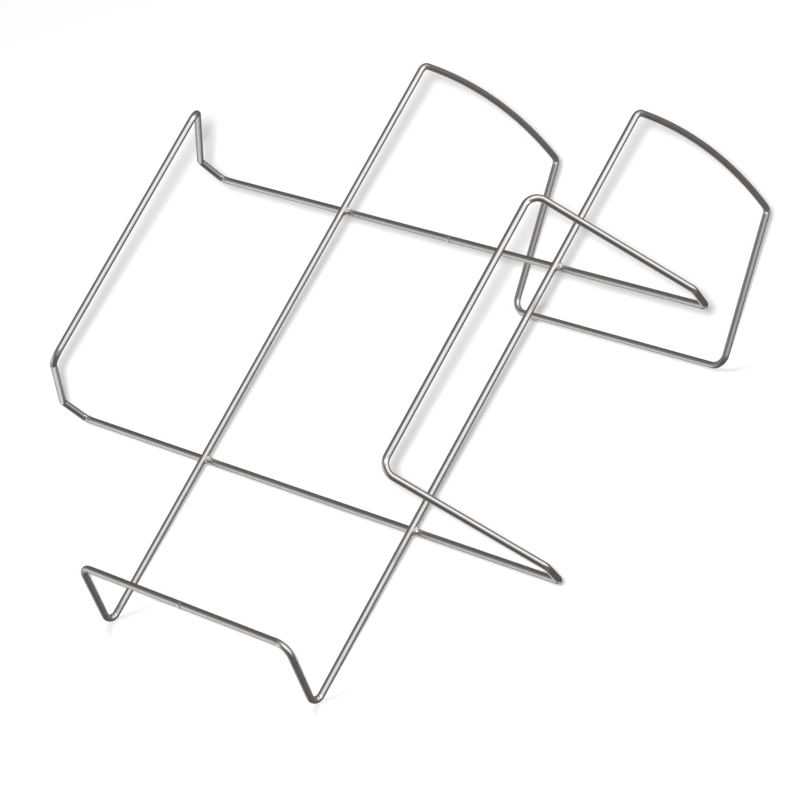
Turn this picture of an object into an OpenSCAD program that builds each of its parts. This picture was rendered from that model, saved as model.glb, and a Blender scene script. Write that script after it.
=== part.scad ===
// Desktop file sorter: two closed loops of plated steel wire, laid across each other and
// spot-welded. The long loop is the sloping bed, with a lip at its low end and a sprung prop
// at its high end. The cross loop goes under it and turns up into two wings.
// Origin: on the desk, in the middle of the outline. +Y is the high end, +Z is up.

/* [Wire] */
// Diameter of both wires
wire_d = 3.2; // [2.4:0.1:4.5]
// Bend radius of the long loop's sides, to the middle of the wire
bend_r = 4; // [3:0.5:9]
// Bend radius at the ends of the bars, to the middle of the wire
corner_r = 6.5; // [4:0.5:12]
// Bend radius where a wing's kick meets its cross rail, to the middle of the wire
kick_r = 4; // [3:0.5:6]
// Bend radius at a wing's knee, between its kick and its side, to the middle of the wire
knee_r = 3; // [3:0.5:6]

/* [Bed] */
// Length of the two long rails, from corner to corner
bed_len = 306; // [220:1:400]
// Width of the bed, between the middles of the long rails
bed_w = 135; // [90:1:200]

/* [Lip] */
// Length of the lip at the low end
lip_len = 37; // [22:1:60]
// Lean of the lip over the bed, from square to the bed
lip_lean = 22; // [0:1:35]

/* [Prop] */
// Length of the bowed struts behind the high end, from corner to corner
strut_len = 114; // [80:1:140]
// Lean of the struts away from the bed, from square to the bed
strut_lean = 8; // [0:1:15]
// Turn of each strut along its bow
strut_bow = 22; // [4:1:30]
// Length of the legs that come back under the bed
leg_len = 78; // [50:1:100]
// Slope of the legs against the bed
leg_slope = 19; // [5:1:30]

/* [Wings] */
// Length of the two cross rails, from corner to corner
cross_len = 307; // [250:1:400]
// Width of the wings, between the middles of the cross rails
cross_w = 136; // [90:1:160]
// Distance from the low end of the bed to the first cross rail
cross_start = 89; // [50:1:100]
// Length of the short outward kick at each end of the cross rails
kick_len = 16.5; // [12:0.5:25]
// Outward lean of the kick, from square to the bed
kick_lean = 10; // [0:1:20]
// Length of a wing's sloping sides
wing_len = 81; // [40:1:110]
// Inward lean of the wings, from square to the bed
wing_lean = 39; // [10:1:50]

/* [Welds] */
// Depth by which the crossing wires are pressed into each other
weld_sink = 0.4; // [0.1:0.1:0.8]
// Diameter of the metal squeezed out at a crossing
flash_d = 6.2; // [5:0.1:8]
// Thickness of the metal squeezed out at a crossing
flash_t = 2.2; // [1.4:0.1:2.6]
// Length of the bead that closes a loop
bead_len = 1.4; // [0.8:0.1:3]
// Height of the bead over the wire
bead_h = 0.3; // [0.1:0.1:0.6]

/* [Hidden] */
$fa = 2;
$fs = 0.3;
wire_r = wire_d / 2;
// A wire thins a little in its bends, and its straight runs reach just into them
bend_thinning = 0.01;
bend_lap = 0.05;

// The long loop from the side: distance along the bed, then height square to it
lip_top = lip_len * [sin(lip_lean), cos(lip_lean)];
strut_top = [bed_len, 0];
strut_foot = strut_top + strut_len * [sin(strut_lean), -cos(strut_lean)];
strut_out = strut_len / 2 * tan(strut_bow / 2) * [cos(strut_lean), sin(strut_lean)];
strut_apex = (strut_top + strut_foot) / 2 + strut_out;
foot = strut_foot - leg_len * [cos(leg_slope), sin(leg_slope)];
// The bow starts a wire's width past the bends at both ends of the strut
strut_half = strut_len / 2 / cos(strut_bow / 2);
top_turn = 90 - strut_lean - strut_bow / 2;
foot_turn = 90 + strut_lean - strut_bow / 2 - leg_slope;
bow_r = (strut_half - bend_r * tan(max(top_turn, foot_turn) / 2) - wire_d) / tan(strut_bow / 2);

// The cross loop from the low end: distance outward, then height square to the bed
cross_z = weld_sink - wire_d;
wing_root = [cross_len / 2, cross_z];
wing_knee = wing_root + kick_len * [sin(kick_lean), cos(kick_lean)];
wing_top = wing_knee + wing_len * [-sin(wing_lean), cos(wing_lean)];

// Slope of the bed that puts both the low bends and the foot bar on the desk
low_bend = bend_r * [tan(45 + lip_lean / 2), 1];
reach = foot - low_bend;
slope = -asin(bend_r / norm(reach)) - atan2(reach.y, reach.x);
lift = wire_r - foot * [sin(slope), cos(slope)];

// Each side of a loop as corners and their bend radii, starting where its end bar stops
bed_side = [[lip_top, corner_r], [[0, 0], bend_r], [strut_top, bend_r], [strut_apex, bow_r],
    [strut_foot, bend_r], [foot, corner_r]];
wing_side = [[wing_root, kick_r], [wing_knee, knee_r], [wing_top, corner_r]];

function reversed(list) = [for (i = [len(list) - 1 : -1 : 0]) list[i]];
function one_way(list, forward) = forward ? list : reversed(list);

// The closed loops, as lists of [corner, bend radius]
bed_path = [for (side = [-1, 1], c = one_way(bed_side, side < 0))
    [[side * bed_w / 2, c[0].x, c[0].y], c[1]]];
wing_path = [for (leg = [[-1, 0, true], [-1, 1, false], [1, 1, true], [1, 0, false]],
    c = one_way(wing_side, leg[2]))
    [[leg[0] * c[0].x, cross_start + leg[1] * cross_w, c[0].y], c[1]]];

function toward(a, b) = (b - a) / norm(b - a);
function turn_at(a, b, c) = acos(toward(a, b) * toward(b, c));
function setback(a, b, c, r) = r * tan(turn_at(a, b, c) / 2);

// Centre of the bend at b, the way out of it to where the bend starts, and the wire's way there
function bend_frame(a, b, c, r) = let(
    inward = toward(b, a) + toward(b, c),
    centre = b + inward / norm(inward) * r / cos(turn_at(a, b, c) / 2),
    start = b + toward(b, a) * setback(a, b, c, r))
    [centre, (start - centre) / r, toward(a, b)];

function bend_points(a, b, c, r) = let(f = bend_frame(a, b, c, r), turn = turn_at(a, b, c))
    [for (t = [0 : 0.05 : 1]) f[0] + r * (cos(t * turn) * f[1] + sin(t * turn) * f[2])];

function corner(path, i) = path[i % len(path)][0];
function radius(path, i) = path[i % len(path)][1];
function path_points(path) = [for (i = [1 : len(path)])
    each bend_points(corner(path, i - 1), corner(path, i), corner(path, i + 1), radius(path, i))];

// Middle of the outline along the desk
desk_y = [for (p = concat(path_points(bed_path), path_points(wing_path)))
    p.y * cos(slope) - p.z * sin(slope)];
middle_y = (min(desk_y) + max(desk_y)) / 2;

module straight(a, b) {
    way = b - a;
    translate(a) rotate([0, acos(way.z / norm(way)), atan2(way.y, way.x)])
        cylinder(h = norm(way), r = wire_r);
}

module bend(a, b, c, r) {
    f = bend_frame(a, b, c, r);
    axis = cross(f[1], f[2]);
    multmatrix([for (k = [0 : 2]) [f[1][k], f[2][k], axis[k], f[0][k]]])
        rotate_extrude(angle = turn_at(a, b, c)) translate([r, 0]) circle(r = wire_r - bend_thinning);
}

// A closed loop of wire: a bend at each corner, and a straight run to the next one
module wire(path) {
    for (i = [1 : len(path)]) {
        a = corner(path, i - 1);
        b = corner(path, i);
        c = corner(path, i + 1);
        d = corner(path, i + 2);
        bend(a, b, c, radius(path, i));
        straight(b + toward(b, c) * (setback(a, b, c, radius(path, i)) - bend_lap),
            c + toward(c, b) * (setback(b, c, d, radius(path, i + 1)) - bend_lap));
    }
}

module long_rail(side) {
    straight([side * bed_w / 2, low_bend.x, 0], [side * bed_w / 2, bed_len - low_bend.x, 0]);
}

module cross_rail(along) {
    straight([-bed_w, along, cross_z], [bed_w, along, cross_z]);
}

// Tilts the sorter from flat on its bed to standing on the desk
module on_desk() {
    translate([0, -middle_y, lift]) rotate([slope, 0, 0]) children();
}

module bed_wire() {
    color("silver") on_desk() wire(bed_path);
}

module wing_wire() {
    color("lightgray") on_desk() difference() {
        wire(wing_path);
        for (side = [-1, 1]) long_rail(side);
    }
}

// Metal squeezed out round a crossing, as a thin lens without the two wires
module crossing_weld(side, along) {
    lens_r = (pow(flash_d, 2) + pow(flash_t, 2)) / flash_t / 4;
    color("gray") on_desk() difference() {
        translate([side * bed_w / 2, along, cross_z / 2]) intersection() {
            translate([0, 0, flash_t / 2 - lens_r]) sphere(r = lens_r, $fs = 0.15);
            translate([0, 0, lens_r - flash_t / 2]) sphere(r = lens_r, $fs = 0.15);
        }
        long_rail(side);
        cross_rail(along);
    }
}

// Bead round the wire where the two ends of a loop are joined, in the middle of a straight run
module butt_weld(along, height) {
    bulge_r = (pow(bead_len / 2, 2) + pow(bead_h, 2)) / bead_h / 2;
    color("dimgray") on_desk() translate([0, along, height]) rotate([0, 90, 0])
        rotate_extrude() intersection() {
            translate([wire_r + bead_h - bulge_r, 0]) circle(r = bulge_r);
            translate([wire_r, -bead_len]) square(2 * bead_len);
        }
}

bed_wire();
wing_wire();
crossing_weld(-1, cross_start);  // low_left_weld
crossing_weld(1, cross_start);  // low_right_weld
crossing_weld(-1, cross_start + cross_w);  // high_left_weld
crossing_weld(1, cross_start + cross_w);  // high_right_weld
butt_weld(lip_top.x, lip_top.y);  // lip_butt_weld
butt_weld(cross_start + cross_w, cross_z);  // cross_butt_weld
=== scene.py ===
import math
import bpy
import bmesh
from mathutils import Matrix, Vector, noise


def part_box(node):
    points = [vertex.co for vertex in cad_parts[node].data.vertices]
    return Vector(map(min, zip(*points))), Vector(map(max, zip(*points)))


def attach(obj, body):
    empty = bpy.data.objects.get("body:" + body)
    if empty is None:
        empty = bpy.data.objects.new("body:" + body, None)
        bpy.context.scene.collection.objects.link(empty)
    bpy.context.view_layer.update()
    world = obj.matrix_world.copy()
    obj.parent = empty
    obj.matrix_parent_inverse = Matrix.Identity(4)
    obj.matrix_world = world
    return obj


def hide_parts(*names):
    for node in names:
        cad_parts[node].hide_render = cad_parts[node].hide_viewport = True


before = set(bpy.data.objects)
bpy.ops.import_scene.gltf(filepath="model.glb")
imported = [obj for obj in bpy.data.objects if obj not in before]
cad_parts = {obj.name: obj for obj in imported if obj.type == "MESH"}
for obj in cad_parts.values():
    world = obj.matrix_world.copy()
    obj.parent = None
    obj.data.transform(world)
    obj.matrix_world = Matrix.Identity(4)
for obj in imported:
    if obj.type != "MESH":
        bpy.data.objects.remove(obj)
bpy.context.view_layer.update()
mm = 0.001

# the bed loop, bent from one length of wire: sizes in millimetres, angles in degrees, and the marks
# on each kind of bend: how strong its dent, crimp and pressed flat are, and how far round the flat lies
bedLoop = dict(
    wire=3.2, bendR=4, cornerR=6.5,
    length=306, width=135,
    lipLength=37, lipLean=22,
    strutLength=114, strutLean=8, strutBow=22,
    legLength=78, legSlope=19,
    lipMark=dict(dent=0.25, crimp=0, press=1, at=0.2),
    lowMark=dict(dent=1.1, crimp=0, press=0, at=0),
    topMark=dict(dent=0.3, crimp=0, press=1, at=0.75),
    strutMark=dict(dent=0.4, crimp=0, press=1.1, at=0.53),
    footMark=dict(dent=0, crimp=0, press=0, at=0),
)
# the wing loop, which crosses under the bed
wingLoop = dict(
    wire=3.2, kickR=4, kneeR=3, cornerR=6.5,
    length=307, width=136, start=89, under=2.8,
    kickLength=16.5, kickLean=10,
    wingLength=81, wingLean=39,
    kickMark=dict(dent=0.5, crimp=0.4, press=1.2, at=0.66),
    kneeMark=dict(dent=0.3, crimp=0, press=0.6, at=0.5),
    topMark=dict(dent=0, crimp=0, press=0.6, at=0.8),
)
# how finely a wire is made, in millimetres and degrees
wireMesh = dict(sides=40, bendStep=4.0, bowStep=1.0, nearBend=3.0, nearStep=0.3)
# marks that the bending pins leave, in millimetres: a dent with raised lips inside each bend, a crimp
# right round some, an outside drawn a little flat, and a flat pressed in from one side by the clamp
toolMark = dict(depth=0.34, lip=0.3, width=0.45, lipAt=2, drawn=0.06,
                pressFrom=(0.667, -0.578, 0.471), pressDepth=0.36, pressLength=1.4, leastPress=0.02)


def leaning(length, lean):
    # along the bed and square to it, for a run that leans that far from square
    return Vector((length * math.sin(math.radians(lean)), length * math.cos(math.radians(lean))))


def bedSide(d):
    # one side of the bed loop from the lip to the foot bar: (along, height, bend radius, marks)
    lip = leaning(d["lipLength"], d["lipLean"])
    strutTop = Vector((d["length"], 0))
    strutFoot = strutTop + leaning(d["strutLength"], 180 - d["strutLean"])
    halfBow = math.radians(d["strutBow"] / 2)
    outward = leaning(1, 90 - d["strutLean"])
    apex = (strutTop + strutFoot) / 2 + outward * d["strutLength"] / 2 * math.tan(halfBow)
    foot = strutFoot + leaning(d["legLength"], 270 - d["legSlope"])
    topTurn = 90 - d["strutLean"] - d["strutBow"] / 2
    footTurn = 90 + d["strutLean"] - d["strutBow"] / 2 - d["legSlope"]
    bend = d["bendR"] * math.tan(math.radians(max(topTurn, footTurn) / 2))
    bowR = (d["strutLength"] / 2 / math.cos(halfBow) - bend - d["wire"]) / math.tan(halfBow)
    return [(*lip, d["cornerR"], d["lipMark"]), (0, 0, d["bendR"], d["lowMark"]),
            (*strutTop, d["bendR"], d["topMark"]), (*apex, bowR, None),
            (*strutFoot, d["bendR"], d["strutMark"]), (*foot, d["cornerR"], d["footMark"])]


def wingSide(d):
    # one end of the wing loop from the cross rail to the top bar: (outward, height, bend radius, marks)
    root = Vector((d["length"] / 2, -d["under"]))
    knee = root + leaning(d["kickLength"], d["kickLean"])
    top = knee + leaning(d["wingLength"], -d["wingLean"])
    return [(*root, d["kickR"], d["kickMark"]), (*knee, d["kneeR"], d["kneeMark"]),
            (*top, d["cornerR"], d["topMark"])]


def turnedRound(marks):
    # the same marks on a bend that is made from its other end
    return marks and dict(marks, at=1 - marks["at"])


def bedCorners(d):
    side = bedSide(d)
    half = d["width"] / 2
    left = [(Vector((-half, y, z)), r, marks) for y, z, r, marks in side]
    right = [(Vector((half, y, z)), r, turnedRound(marks)) for y, z, r, marks in reversed(side)]
    return left + right


def wingCorners(d):
    side = wingSide(d)
    low, high = d["start"], d["start"] + d["width"]
    corners = []
    for hand, along, way in ((1, high, 1), (1, low, -1), (-1, low, 1), (-1, high, -1)):
        for x, z, r, marks in side[::way]:
            corners.append((Vector((hand * x, along, z)), r, marks if way > 0 else turnedRound(marks)))
    return corners


def slopeOfBed(d):
    # slope that puts both the low bends and the foot bar on the desk
    foot = Vector(bedSide(d)[-1][:2])
    bend = d["bendR"]
    reach = foot - Vector((bend * math.tan(math.radians(45 + d["lipLean"] / 2)), bend))
    return -math.asin(bend / reach.length) - math.atan2(reach.y, reach.x)


def crossings():
    # where the long rails lie on the cross rails
    z = (wingLoop["wire"] / 2 - wingLoop["under"]) / 2 - wingLoop["wire"] / 4
    spots = {}
    for row, along in (("low", wingLoop["start"]), ("high", wingLoop["start"] + wingLoop["width"])):
        for hand, side in (("left", -1), ("right", 1)):
            spots[f"{row}_{hand}_weld"] = Vector((side * bedLoop["width"] / 2, along, z))
    return spots


def markBend(bm, centre, axis, out, turn, bend, radius, tool, marks):
    # one bend's marks: a dent between two raised lips inside it, a crimp right round it, an outside
    # drawn a little flat, and the clamp's flat
    burnish = bm.verts.layers.float["burnish"]
    out = out.normalized()
    forward = axis.cross(out)
    pressFrom = Vector(tool["pressFrom"])
    slack = 0.02  # radians past either end of the bend
    nearby, tallest = bend + 3 * radius, radius * 1.05  # leaves out the rest of the loop
    for v in bm.verts:
        arm = v.co - centre
        if arm.length > nearby:
            continue
        rise = arm.dot(axis)
        flat = arm - axis * rise
        angle = math.atan2(flat.dot(forward), flat.dot(out))
        if not -slack <= angle <= turn + slack or abs(rise) > tallest:
            continue
        hub = (out * math.cos(angle) + forward * math.sin(angle)) * bend
        skin = (arm - hub).normalized()
        side = skin.dot(hub.normalized())
        inner, outer = max(0, -side) ** 2, max(0, side) ** 3
        ease = math.sin(math.pi * min(max(angle / turn, 0), 1)) ** 2  # nothing at the ends of the bend
        fade = ease ** 0.25
        reach = max(flat.length, bend - radius)
        offset = (angle - turn / 2) * reach / tool["width"]
        lips = tool["lip"] * math.exp(-(abs(offset) - tool["lipAt"]) ** 2)
        dent = (lips - tool["depth"] * math.exp(-offset ** 2)) * fade
        strength = marks["dent"] * inner + marks["crimp"] * (1 - inner)
        v.co += skin * (dent * strength - outer * tool["drawn"] * ease)
        # the clamp's flat runs along the wire, square to it
        away = (angle - marks["at"] * turn) * bend / tool["pressLength"]
        deep = marks["press"] * tool["pressDepth"] * math.exp(-away ** 2) * fade
        along = axis.cross(hub).normalized()
        facing = (pressFrom - along * pressFrom.dot(along)).normalized()
        over = (v.co - centre - hub).dot(facing) - radius + deep
        if over > 0 and deep > tool["leastPress"]:
            v.co -= facing * over
            v[burnish] = math.exp(-away ** 2)


def bendWire(name, corners, radius, look, tool):
    # one closed wire: a ring of points is fed along each straight run and spun round each bend
    bm = bmesh.new()
    around = bm.verts.layers.float_vector.new("around")
    worked = bm.verts.layers.float.new("worked")
    bm.verts.layers.float.new("burnish")
    first, last = corners[0][0], corners[-1][0]
    here = (first + last) / 2
    way = (first - last).normalized()
    face = Matrix.Translation(here) @ way.to_track_quat("Z", "Y").to_matrix().to_4x4()
    bmesh.ops.create_circle(bm, radius=radius, segments=look["sides"], matrix=face)
    for v in bm.verts:
        flat = face.inverted() @ v.co
        v[around] = (flat.x / radius, flat.y / radius, 0)
    ring, firstRing = list(bm.edges), list(bm.verts)
    gone = 0.0

    def note(verts, work):
        # what the materials read at each point: where it is on the wire, and how near a bend
        for v in verts:
            v[around] = (v[around].x, v[around].y, gone * mm)
            v[worked] = work

    def feed(to, work=0.0):
        nonlocal ring, here, gone
        grown = bmesh.ops.extrude_edge_only(bm, edges=ring)["geom"]
        verts = [g for g in grown if isinstance(g, bmesh.types.BMVert)]
        ring = [g for g in grown if isinstance(g, bmesh.types.BMEdge)]
        bmesh.ops.translate(bm, verts=verts, vec=to - here)
        gone += (to - here).length
        here = to.copy()
        note(verts, work)

    def feedRun(to):
        # a straight run, with close rings near its ends for the tool marks
        start, run = here.copy(), to - here
        if run.length > 2.5 * look["nearBend"]:
            closeRings = round(look["nearBend"] / look["nearStep"])
            near = [k * look["nearStep"] for k in range(1, closeRings + 1)]
            for s in near:
                feed(start + run.normalized() * s, 1 - s / look["nearBend"])
            for s in reversed(near):
                feed(to - run.normalized() * s, 1 - s / look["nearBend"])
        feed(to, 1.0)

    count = len(corners)
    for i, (corner, bend, marks) in enumerate(corners):
        back = (corners[i - 1][0] - corner).normalized()
        on = (corners[(i + 1) % count][0] - corner).normalized()
        turn = math.pi - back.angle(on)
        setback = bend * math.tan(turn / 2)
        feedRun(corner + back * setback)
        centre = corner + (back + on).normalized() * bend / math.cos(turn / 2)
        axis = (here - centre).cross(-back).normalized()
        bow = marks is None
        steps = max(2, round(math.degrees(turn) / look["bowStep" if bow else "bendStep"]))
        for k in range(steps):
            rim = {v for e in ring for v in e.verts}
            spun = bmesh.ops.spin(bm, geom=list(rim) + ring, cent=centre, axis=axis, dvec=(0, 0, 0),
                                  angle=turn / steps, steps=1, use_merge=False, use_duplicate=False)
            verts = [g for g in spun["geom_last"] if isinstance(g, bmesh.types.BMVert)]
            ring = [g for g in spun["geom_last"] if isinstance(g, bmesh.types.BMEdge)]
            gone += bend * turn / steps
            note(verts, 0.0 if bow else 1.0)
        if not bow:
            markBend(bm, centre, axis, here - centre, turn, bend, radius, tool, marks)
        here = corner + on * setback
    feedRun((first + last) / 2)
    lastRing = {v for e in ring for v in e.verts}
    closeEnough = 0.02  # the loop ends this near to where it began
    bmesh.ops.remove_doubles(bm, verts=firstRing + list(lastRing), dist=closeEnough)
    bmesh.ops.recalc_face_normals(bm, faces=bm.faces)
    return makePiece(name, bm)


def makePiece(name, bm):
    mesh = bpy.data.meshes.new(name)
    bm.to_mesh(mesh)
    bm.free()
    mesh.shade_smooth()
    piece = bpy.data.objects.new(name, mesh)
    bpy.context.scene.collection.objects.link(piece)
    return piece


print("bending the wires")
slope = slopeOfBed(bedLoop)
onDesk = Matrix.Rotation(slope, 4, "X") @ Matrix.Scale(mm, 4)
bedWire = bendWire("bed_wire_bent", bedCorners(bedLoop), bedLoop["wire"] / 2, wireMesh, toolMark)
wingWire = bendWire("wing_wire_bent", wingCorners(wingLoop), wingLoop["wire"] / 2, wireMesh, toolMark)
wirePieces = [(bedWire, "bed_wire"), (wingWire, "wing_wire")]
for piece, node in wirePieces:
    piece.data.transform(onDesk)
# both loops stand on the desk by the same move, taken from where the CAD has the bed loop's middle
low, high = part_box("bed_wire")
points = [v.co for v in bedWire.data.vertices]
madeLow, madeHigh = (Vector([f(p[i] for p in points) for i in range(3)]) for f in (min, max))
lift = (low + high - madeLow - madeHigh) / 2
for piece, node in wirePieces:
    piece.data.transform(Matrix.Translation(lift))
    corner = [min(v.co[i] for v in piece.data.vertices) for i in range(3)]
    away = [round((made - cad) / mm, 3) for made, cad in zip(corner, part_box(node)[0])]
    print(node, "lies off its CAD box by", away, "mm")
    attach(piece, "root")
    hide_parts(node)
place = Matrix.Translation(lift) @ onDesk

print("welds")
# flash squeezed out where two wires were welded, in millimetres and degrees; each weld's beads are
# turned a little further than the last one's, vary in size, stand off the middle and sink into the rim
weldFlash = dict(width=5.3, thick=1.8, lumps=0.4, lumpSize=1.2,
                 beads=4, beadSize=0.4, beadsTurned=31, beadVary=0.5, beadRise=0.1, beadSunk=0.3)
# ring left where the two ends of a loop were butted together, thicker on one side and ground flat there
buttRing = dict(length=2.5, height=0.2, thicker=0.18, side=192, ground=1.64,
                segments=64, sectionSegments=24, lumps=0.05, lumpSize=1.1)


def weldNugget(name, middle, seed, d):
    # a lumpy lens between the wires, with a bead in each corner of the crossing
    bm = bmesh.new()
    bmesh.ops.create_icosphere(bm, subdivisions=4, radius=d["width"] / 2)
    bmesh.ops.scale(bm, verts=bm.verts, vec=(1, 1, d["thick"] / d["width"]))
    for v in bm.verts:
        wave = noise.noise(v.co / d["lumpSize"] + Vector((seed * 7.3, 0, 0)))
        v.co += v.co.normalized() * wave * d["lumps"]
    for k in range(d["beads"]):
        turn = math.radians(45 + 90 * k + d["beadsTurned"] * seed)
        size = d["beadSize"] * (1 + d["beadVary"] * noise.noise(Vector((k * 1.7, seed * 3.1, 0))))
        outwards = Vector((math.cos(turn), math.sin(turn), d["beadRise"]))
        spot = outwards * (d["width"] / 2 - size * d["beadSunk"])
        bmesh.ops.create_icosphere(bm, subdivisions=3, radius=size, matrix=Matrix.Translation(spot))
    bmesh.ops.translate(bm, verts=bm.verts, vec=middle)
    return makePiece(name, bm)


def weldRing(name, middle, radius, seed, d):
    # a flattened loop round the wire, which runs left to right
    bm = bmesh.new()
    made = bmesh.ops.create_circle(bm, radius=1, segments=d["sectionSegments"])
    bmesh.ops.scale(bm, verts=made["verts"], vec=(d["length"] / 2, d["height"], 1))
    bmesh.ops.translate(bm, verts=made["verts"], vec=(0, radius, 0))
    bmesh.ops.spin(bm, geom=bm.verts[:] + bm.edges[:], cent=(0, 0, 0), axis=(1, 0, 0), dvec=(0, 0, 0),
                   angle=math.tau, steps=d["segments"], use_merge=True, use_duplicate=False)
    bmesh.ops.remove_doubles(bm, verts=bm.verts, dist=0.001)  # closes the ring
    bmesh.ops.recalc_face_normals(bm, faces=bm.faces)
    for v in bm.verts:
        wave = noise.noise(v.co / d["lumpSize"] + Vector((0, seed * 5.1, 0)))
        v.co += Vector((0, v.co.y, v.co.z)).normalized() * wave * d["lumps"]
    turn = math.radians(d["side"])
    side = Vector((0, math.cos(turn), math.sin(turn)))
    burnish = bm.verts.layers.float.new("burnish")
    for v in bm.verts:
        v.co += side * d["thicker"]
        over = v.co.dot(side) - d["ground"]
        if over > 0:
            v.co -= side * over
            v[burnish] = 1
    bmesh.ops.translate(bm, verts=bm.verts, vec=middle)
    return makePiece(name, bm)


weldPieces = []
for seed, (node, middle) in enumerate(crossings().items()):
    weldPieces.append((weldNugget(node + "_flash", middle, seed, weldFlash), node))
lipTop = Vector((0, *bedSide(bedLoop)[0][:2]))
crossEnd = Vector((0, wingLoop["start"] + wingLoop["width"], -wingLoop["under"]))
lipRing = weldRing("lip_butt_ring", lipTop, bedLoop["wire"] / 2, 1, buttRing)
crossRing = weldRing("cross_butt_ring", crossEnd, wingLoop["wire"] / 2, 2, buttRing)
weldPieces += [(lipRing, "lip_butt_weld"), (crossRing, "cross_butt_weld")]
for piece, node in weldPieces:
    piece.data.transform(place)
    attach(piece, "root")
    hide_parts(node)
    low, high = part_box(node)
    middle = sum((v.co for v in piece.data.vertices), Vector()) / len(piece.data.vertices)
    print(node, "is off by", [round(x / mm, 2) for x in middle - (low + high) / 2], "mm")


def markHeat(piece, spots, reach):
    # how much the heat of the nearest weld has dulled each point
    heat = piece.data.attributes.new("heat", "FLOAT", "POINT")
    for v, h in zip(piece.data.vertices, heat.data):
        near = min((v.co - s).length for s in spots)
        h.value = math.exp(-(near / reach) ** 2)


weldSpots = [place @ s for s in crossings().values()]  # the butt welds were ground bright
heatReach = 5 * mm
for piece, node in wirePieces + weldPieces:
    markHeat(piece, weldSpots, heatReach)

print("materials")


# how the plating varies, with the scales of its noises counted per wire radius
platingLook = dict(
    stretch=25,  # drawing lines are this many times longer than wide
    lines=dict(scale=9.0, detail=3.0, rough=0.6),
    cloud=dict(scale=0.35, detail=3.0, rough=0.5),
    cloudRange=(0.3, 0.7), tintRange=(0.35, 0.75), cloudTint=0.12,
    grain=dict(scale=6.0, detail=2.0, rough=0.6), grainRange=(0.3, 0.7), leastHeat=0.55,
    pits=dict(scale=3.1, detail=0.0, rough=0.5), pitRange=(0.74, 0.8), pitDull=0.5, pitDepth=-1.0,
    dullRough=0.25, workedRough=0.08, workedHeight=0.5,
    burnished=(1, 0.99, 0.98, 1),
)
perRadius = 2 / (bedLoop["wire"] * mm)


def platingGroup(d):
    # plating over drawn wire: long fine lines, cloudy gloss, pits, dulling by heat and burnished flats
    group = bpy.data.node_groups.new("platingWear", "ShaderNodeTree")
    inputs = (
        ("Vector", "NodeSocketVector", None),
        ("Bright", "NodeSocketColor", (0.74, 0.71, 0.68, 1)),
        ("Dull", "NodeSocketColor", (0.4, 0.35, 0.31, 1)),
        ("Heat", "NodeSocketFloat", 0.0),
        ("Worked", "NodeSocketFloat", 0.0),
        ("Burnish", "NodeSocketFloat", 0.0),
        ("Lines", "NodeSocketFloat", 1.0),
        ("Gloss", "NodeSocketFloat", 0.16),
        ("Cloud", "NodeSocketFloat", 0.1),
    )
    for name, kind, value in inputs:
        made = group.interface.new_socket(name=name, in_out="INPUT", socket_type=kind)
        if value is not None:
            made.default_value = value
    for name, kind in (("Color", "Color"), ("Roughness", "Float"), ("Height", "Float")):
        group.interface.new_socket(name=name, in_out="OUTPUT", socket_type="NodeSocket" + kind)
    nodes, links = group.nodes, group.links
    get, put = nodes.new("NodeGroupInput").outputs, nodes.new("NodeGroupOutput").inputs

    def calc(operation, *values):
        node = nodes.new("ShaderNodeMath")
        node.operation = operation
        for place, value in zip(node.inputs, values):
            if isinstance(value, (int, float)):
                place.default_value = value
            else:
                links.new(value, place)
        return node.outputs[0]

    def clouds(vector, look):
        node = nodes.new("ShaderNodeTexNoise")
        node.inputs["Scale"].default_value = look["scale"]
        node.inputs["Detail"].default_value = look["detail"]
        node.inputs["Roughness"].default_value = look["rough"]
        links.new(vector, node.inputs["Vector"])
        return node.outputs["Fac"]

    def ranged(value, fromRange, low=0.0, high=1.0):
        node = nodes.new("ShaderNodeMapRange")
        for name, x in zip(("From Min", "From Max", "To Min", "To Max"), (*fromRange, low, high)):
            node.inputs[name].default_value = x
        links.new(value, node.inputs["Value"])
        return node.outputs["Result"]

    def alongScaled(scale):
        node = nodes.new("ShaderNodeMapping")
        node.inputs["Scale"].default_value = (1, 1, scale)
        links.new(get["Vector"], node.inputs["Vector"])
        return node.outputs[0]

    def mixed(factor, a, b):
        node = nodes.new("ShaderNodeMix")
        node.data_type = "RGBA"
        node.clamp_factor = True
        links.new(factor, node.inputs["Factor"])
        links.new(a, node.inputs["A"])
        if isinstance(b, tuple):
            node.inputs["B"].default_value = b
        else:
            links.new(b, node.inputs["B"])
        return node.outputs["Result"]

    stretched, even = alongScaled(perRadius / d["stretch"]), alongScaled(perRadius)
    drawn = clouds(stretched, d["lines"])
    cloud = clouds(even, d["cloud"])
    grain = clouds(even, d["grain"])
    pits = ranged(clouds(even, d["pits"]), d["pitRange"])
    heat = calc("MULTIPLY", get["Heat"], ranged(grain, d["grainRange"], d["leastHeat"]))
    rubbed = calc("MULTIPLY", get["Worked"], grain)
    dull = calc("MAXIMUM", heat, calc("MULTIPLY", pits, d["pitDull"]))
    duller = calc("ADD", dull, ranged(cloud, d["tintRange"], high=d["cloudTint"]))
    tint = mixed(duller, get["Bright"], get["Dull"])
    links.new(mixed(get["Burnish"], tint, d["burnished"]), put["Color"])
    rough = calc("MULTIPLY_ADD", ranged(cloud, d["cloudRange"]), get["Cloud"], get["Gloss"])
    rough = calc("MULTIPLY_ADD", dull, d["dullRough"], rough)
    rough = calc("MULTIPLY_ADD", rubbed, d["workedRough"], rough)
    links.new(rough, put["Roughness"])
    height = calc("MULTIPLY", drawn, get["Lines"])
    height = calc("MULTIPLY_ADD", rubbed, d["workedHeight"], height)
    height = calc("MULTIPLY_ADD", pits, d["pitDepth"], height)
    height = calc("MULTIPLY_ADD", heat, grain, height)
    links.new(height, put["Height"])
    return group


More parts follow.
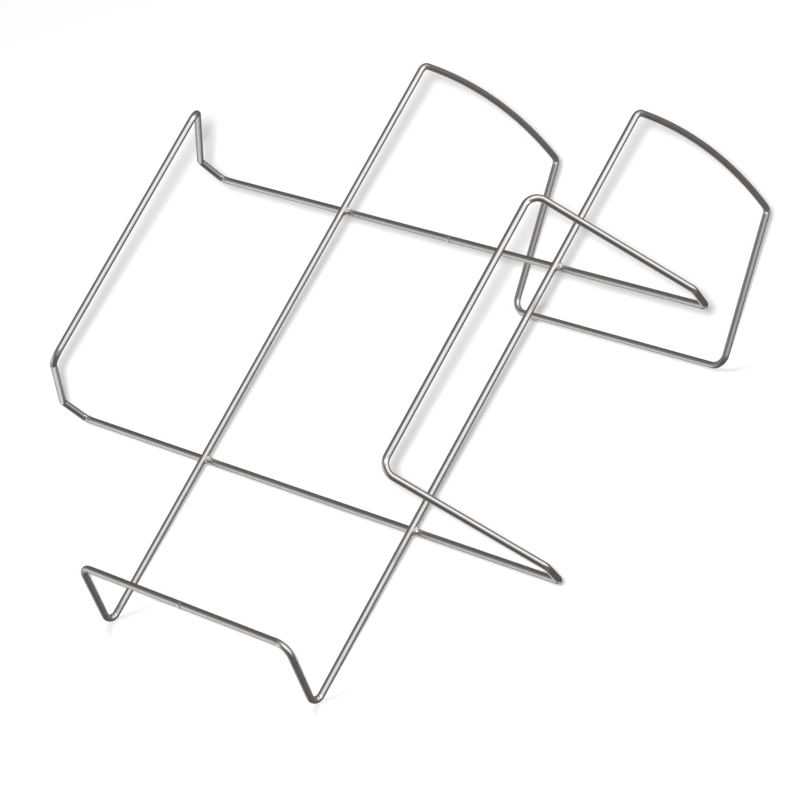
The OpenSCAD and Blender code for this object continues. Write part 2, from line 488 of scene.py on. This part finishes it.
def platedMetal(name, wear, d):
    mat = bpy.data.materials.new(name)
    mat.use_nodes = True
    nodes, links = mat.node_tree.nodes, mat.node_tree.links
    shader = nodes["Principled BSDF"].inputs
    shader["Metallic"].default_value = 1
    finish = nodes.new("ShaderNodeGroup")
    finish.node_tree = wear
    for key in ("Bright", "Dull", "Lines", "Gloss", "Cloud"):
        finish.inputs[key].default_value = d[key]

    def attribute(name, output, key):
        node = nodes.new("ShaderNodeAttribute")
        node.attribute_name = name
        links.new(node.outputs[output], finish.inputs[key])

    attribute("heat", "Fac", "Heat")
    attribute("burnish", "Fac", "Burnish")
    if d["onWire"]:
        attribute("around", "Vector", "Vector")
        attribute("worked", "Fac", "Worked")
    else:
        coords = nodes.new("ShaderNodeTexCoord")
        size = nodes.new("ShaderNodeVectorMath")
        size.operation = "MULTIPLY"
        size.inputs[1].default_value = (perRadius, perRadius, 1)
        links.new(coords.outputs["Object"], size.inputs[0])
        links.new(size.outputs[0], finish.inputs["Vector"])
    bump = nodes.new("ShaderNodeBump")
    bump.inputs["Strength"].default_value = d["bump"]
    bump.inputs["Distance"].default_value = 0.04 * mm
    links.new(finish.outputs["Height"], bump.inputs["Height"])
    links.new(bump.outputs["Normal"], shader["Normal"])
    links.new(finish.outputs["Color"], shader["Base Color"])
    links.new(finish.outputs["Roughness"], shader["Roughness"])
    return mat


wear = platingGroup(platingLook)
wireFinish = dict(onWire=True, Bright=(0.73, 0.70, 0.67, 1), Dull=(0.36, 0.31, 0.27, 1),
                  Lines=1.0, Gloss=0.1, Cloud=0.08, bump=0.3)
weldFinish = dict(onWire=False, Bright=(0.93, 0.91, 0.89, 1), Dull=(0.3, 0.275, 0.255, 1),
                  Lines=0.0, Gloss=0.12, Cloud=0.15, bump=0.5)
platedWire = platedMetal("platedWire", wear, wireFinish)
platedWeld = platedMetal("platedWeld", wear, weldFinish)
for piece, node in wirePieces:
    piece.data.materials.append(platedWire)
for piece, node in weldPieces:
    piece.data.materials.append(platedWeld)

print("floor and light")
bpy.context.scene.view_settings.view_transform = "Standard"
bpy.ops.mesh.primitive_plane_add(size=16)  # metres; its edge shows only in views from near level
floor = bpy.context.object
floor.name = "floor"
floor.visible_glossy = False  # the studio cards light the wires from below as well
paper = bpy.data.materials.new("palePaper")
paper.use_nodes = True
paperShader = paper.node_tree.nodes["Principled BSDF"].inputs
paperShader["Base Color"].default_value = (0.94, 0.94, 0.94, 1)
paperShader["Roughness"].default_value = 1
paperShader["Specular IOR Level"].default_value = 0
floor.data.materials.append(paper)


def aimed(turn, rise):
    # a direction: its turn from the front towards the right, and its rise above level, in degrees
    t, r = math.radians(turn), math.radians(rise)
    return Vector((math.sin(t) * math.cos(r), -math.cos(t) * math.cos(r), math.sin(r)))


# soft cards round the wires, which only their reflections see, and a plain fill for everything else
studioCards = (
    dict(turn=95, rise=51, tight=6.4, colour=(1.30, 1.34, 1.38)),
    dict(turn=115, rise=11, tight=18, colour=(1.0, 1.06, 1.1)),
    dict(turn=-49, rise=-10, tight=5.4, colour=(0.86, 0.87, 0.88)),
    dict(turn=-112, rise=-51, tight=25, colour=(0.77, 0.83, 0.86)),
    dict(turn=65, rise=-67, tight=12.7, colour=(0.11, 0.10, 0.10)),
    dict(turn=127, rise=37, tight=1, colour=(0.33, 0.305, 0.295)),
)
fill = 0.2


def studioWorld(cards, fill):
    world = bpy.data.worlds.new("studio")
    world.use_nodes = True
    world.cycles.sampling_method = "NONE"  # sampled as a lamp it would ignore what kind of ray asks
    nodes, links = world.node_tree.nodes, world.node_tree.links

    def operated(kind, operation, *values):
        node = nodes.new(kind)
        node.operation = operation
        for place, value in zip(node.inputs, values):
            if isinstance(value, bpy.types.NodeSocket):
                links.new(value, place)
            else:
                place.default_value = value
        return node

    facing = nodes.new("ShaderNodeTexCoord").outputs["Generated"]
    total = None
    for card in cards:
        # brightest where the ray meets the card's middle, fading all round it
        tight = card["tight"]
        dot = operated("ShaderNodeVectorMath", "DOT_PRODUCT", facing, aimed(card["turn"], card["rise"]))
        near = operated("ShaderNodeMath", "MULTIPLY_ADD", dot.outputs["Value"], tight, -tight)
        glow = operated("ShaderNodeMath", "EXPONENT", near.outputs[0])
        colour = operated("ShaderNodeVectorMath", "SCALE", card["colour"])
        links.new(glow.outputs[0], colour.inputs["Scale"])
        lit = colour.outputs[0]
        total = operated("ShaderNodeVectorMath", "ADD", total, lit).outputs[0] if total else lit
    pick = nodes.new("ShaderNodeMix")
    pick.data_type = "RGBA"
    links.new(nodes.new("ShaderNodeLightPath").outputs["Is Glossy Ray"], pick.inputs["Factor"])
    pick.inputs["A"].default_value = (fill, fill, fill, 1)
    links.new(total, pick.inputs["B"])
    links.new(pick.outputs["Result"], nodes["Background"].inputs["Color"])
    return world


bpy.context.scene.world = studioWorld(studioCards, fill)

# two soft lamps: one beside the camera, so that from there the shadows lie close by the wires,
# and one behind
lamps = (
    dict(name="frontLamp", turn=50.45, rise=31.5, away=1.6, size=0.045, power=12.8),
    dict(name="backLamp", turn=-117, rise=50, away=1.8, size=0.9, power=3.9),
)
rackMiddle = Vector((0.02, -0.04, 0.07))
for lamp in lamps:
    data = bpy.data.lights.new(lamp["name"], "AREA")
    data.shape = "DISK"
    data.size = lamp["size"]
    data.energy = lamp["power"]
    data.use_nodes = True
    falloff = data.node_tree.nodes.new("ShaderNodeLightFalloff")  # even light over the whole floor
    falloff.inputs["Strength"].default_value = 1
    emission = data.node_tree.nodes["Emission"]
    data.node_tree.links.new(falloff.outputs["Constant"], emission.inputs["Strength"])
    made = bpy.data.objects.new(lamp["name"], data)
    towards = aimed(lamp["turn"], lamp["rise"])
    made.location = rackMiddle + towards * lamp["away"]
    made.rotation_euler = towards.to_track_quat("Z", "Y").to_euler()
    made.visible_glossy = False
    bpy.context.scene.collection.objects.link(made)

print("camera")
view = dict(aim=(0.024, -0.040, 0.070), turn=51.24, rise=30.65, distance=1.5757, roll=-15.2, lens=158.3)
camData = bpy.data.cameras.new("camera")
camData.lens = view["lens"]
camData.sensor_width = 36
camera = bpy.data.objects.new("camera", camData)
bpy.context.scene.collection.objects.link(camera)
outward = aimed(view["turn"], view["rise"])
camera.location = Vector(view["aim"]) + outward * view["distance"]
level = outward.to_track_quat("Z", "Y").to_matrix().to_4x4()
camera.rotation_euler = (level @ Matrix.Rotation(math.radians(view["roll"]), 4, "Z")).to_euler()
bpy.context.scene.camera = camera
